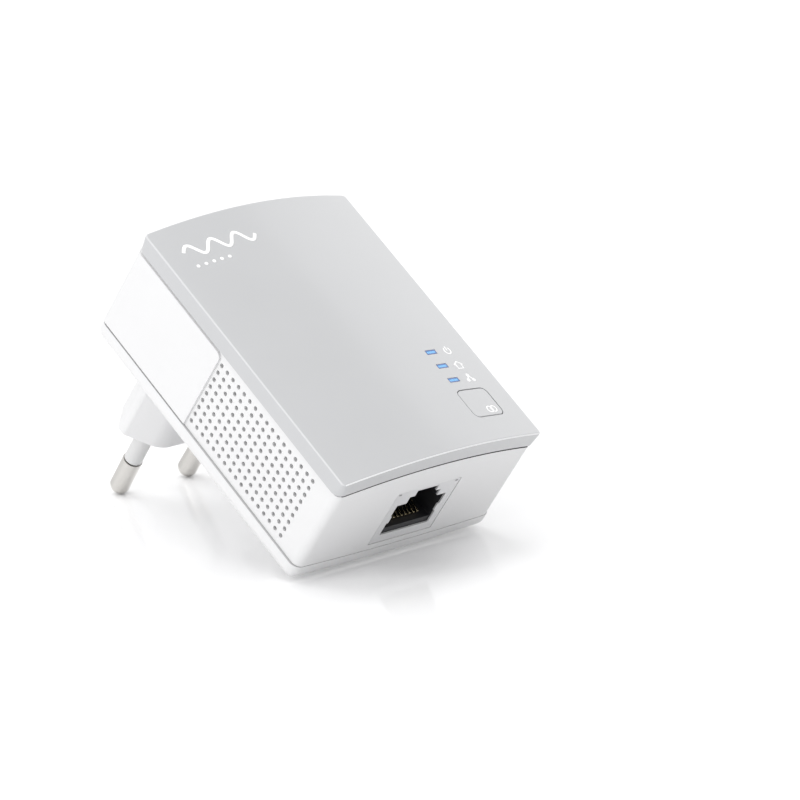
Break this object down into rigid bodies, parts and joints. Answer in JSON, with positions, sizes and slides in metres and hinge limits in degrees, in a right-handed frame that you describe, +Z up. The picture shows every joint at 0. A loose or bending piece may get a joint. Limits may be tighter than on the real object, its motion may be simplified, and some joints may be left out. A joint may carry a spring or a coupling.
{
  "type": "powerline network adapter",
  "caption": "Wall-plug powerline network adapter: crowned case with side vents, a round-pin mains plug on the back, a network socket below, indicator windows and a sprung pairing button.",
  "frame": {"origin": "centre between the two pins at the end face of the plug collar, where it meets the bottom of a mains socket's recess", "axes": "+Y along the pins, into the wall; +Z up as plugged in, with the network socket facing down; +X to the viewer's right when facing the front"},
  "size_m": [0.051, 0.0662, 0.065],
  "materials": {
    "front_grey": "satin, slightly metallic grey paint over plastic",
    "case_white": "fine satin texture",
    "sleeve_white": "smooth",
    "nickel": "polished nickel plate",
    "brass": "bare strip",
    "holder_plastic": "plain moulded",
    "board_green": "solder mask",
    "board_tan": "bare laminate",
    "chip_black": "moulded epoxy",
    "crystal_can": "satin",
    "heatsink_metal": "anodised",
    "light_guide_blue": "clear blue",
    "lamp": "clear epoxy",
    "switch_black": "plain moulded",
    "shield_metal": "satin tin plate",
    "socket_black": "plain moulded",
    "contact_gold": "gold plate",
    "capacitor_yellow": "glossy shell",
    "varistor_blue": "dipped epoxy",
    "fuse_ceramic": "glazed ceramic tube",
    "winding_copper": "enamelled wire",
    "ferrite": "dull ferrite",
    "capacitor_sleeve": "shrink sleeve",
    "bobbin_plastic": "phenolic",
    "winding_tape": "polyester tape",
    "coupling_shell": "plain moulded",
    "socket_ivory": "plain moulded",
    "screw_steel": "zinc plate"
  },
  "bodies": {
    "case": {"front_cover": "front_grey", "main_housing": "case_white", "back_cover": "case_white", "pin_sleeve_left": "sleeve_white", "pin_sleeve_right": "sleeve_white", "pin_left": "nickel", "pin_right": "nickel", "pin_blade_left": "brass", "pin_blade_right": "brass", "pin_holder": "holder_plastic", "main_board": "board_green", "powerline_chip": "chip_black", "memory_chip": "chip_black", "flash_chip": "chip_black", "crystal": "crystal_can", "chip_heatsink": "heatsink_metal", "light_guide": "light_guide_blue", "switch_body": "switch_black", "jack_shield": "shield_metal", "jack_insert": "socket_black", "ethernet_transformer": "chip_black", "power_board": "board_tan", "filter_capacitor": "capacitor_yellow", "varistor": "varistor_blue", "fuse": "fuse_ceramic", "choke_winding": "winding_copper", "choke_core": "ferrite", "bridge_rectifier": "chip_black", "bulk_capacitor": "capacitor_sleeve", "output_capacitor": "capacitor_sleeve", "transformer_core": "ferrite", "transformer_bobbin": "bobbin_plastic", "transformer_winding": "winding_tape", "coupling_transformer": "coupling_shell", "board_socket": "socket_ivory", "board_header": "switch_black", "indicator_lamp_1": "lamp", "board_screw_1": "screw_steel", "indicator_lamp_2": "lamp", "board_screw_2": "screw_steel", "indicator_lamp_3": "lamp", "board_screw_3": "screw_steel", "power_screw_1": "screw_steel", "power_screw_2": "screw_steel"},
    "button": {"pair_button": "front_grey"},
    "plunger": {"switch_plunger": "switch_black"},
    "contacts": {"jack_contact_1": "contact_gold", "jack_contact_2": "contact_gold", "jack_contact_3": "contact_gold", "jack_contact_4": "contact_gold", "jack_contact_5": "contact_gold", "jack_contact_6": "contact_gold", "jack_contact_7": "contact_gold", "jack_contact_8": "contact_gold"}
  },
  "joints": [
    {"name": "pair_button_press", "type": "slide", "parent": "case", "child": "button", "axis": [0, 1, 0], "range_m": [0, 0.0004], "stiffness_N_per_m": 5000},
    {"name": "switch_plunger_press", "type": "slide", "parent": "case", "child": "plunger", "axis": [0, 1, 0], "range_m": [0, 0.0004]},
    {"name": "socket_contact_flex", "type": "hinge", "parent": "case", "child": "contacts", "pos_m": [0, -0.0272, -0.05135], "axis": [-1, 0, 0], "range_deg": [0, 7], "stiffness_Nm_per_rad": 0.05}
  ],
  "couplings": [
    {"joint": "switch_plunger_press", "follows": "pair_button_press", "ratio": 1}
  ]
}
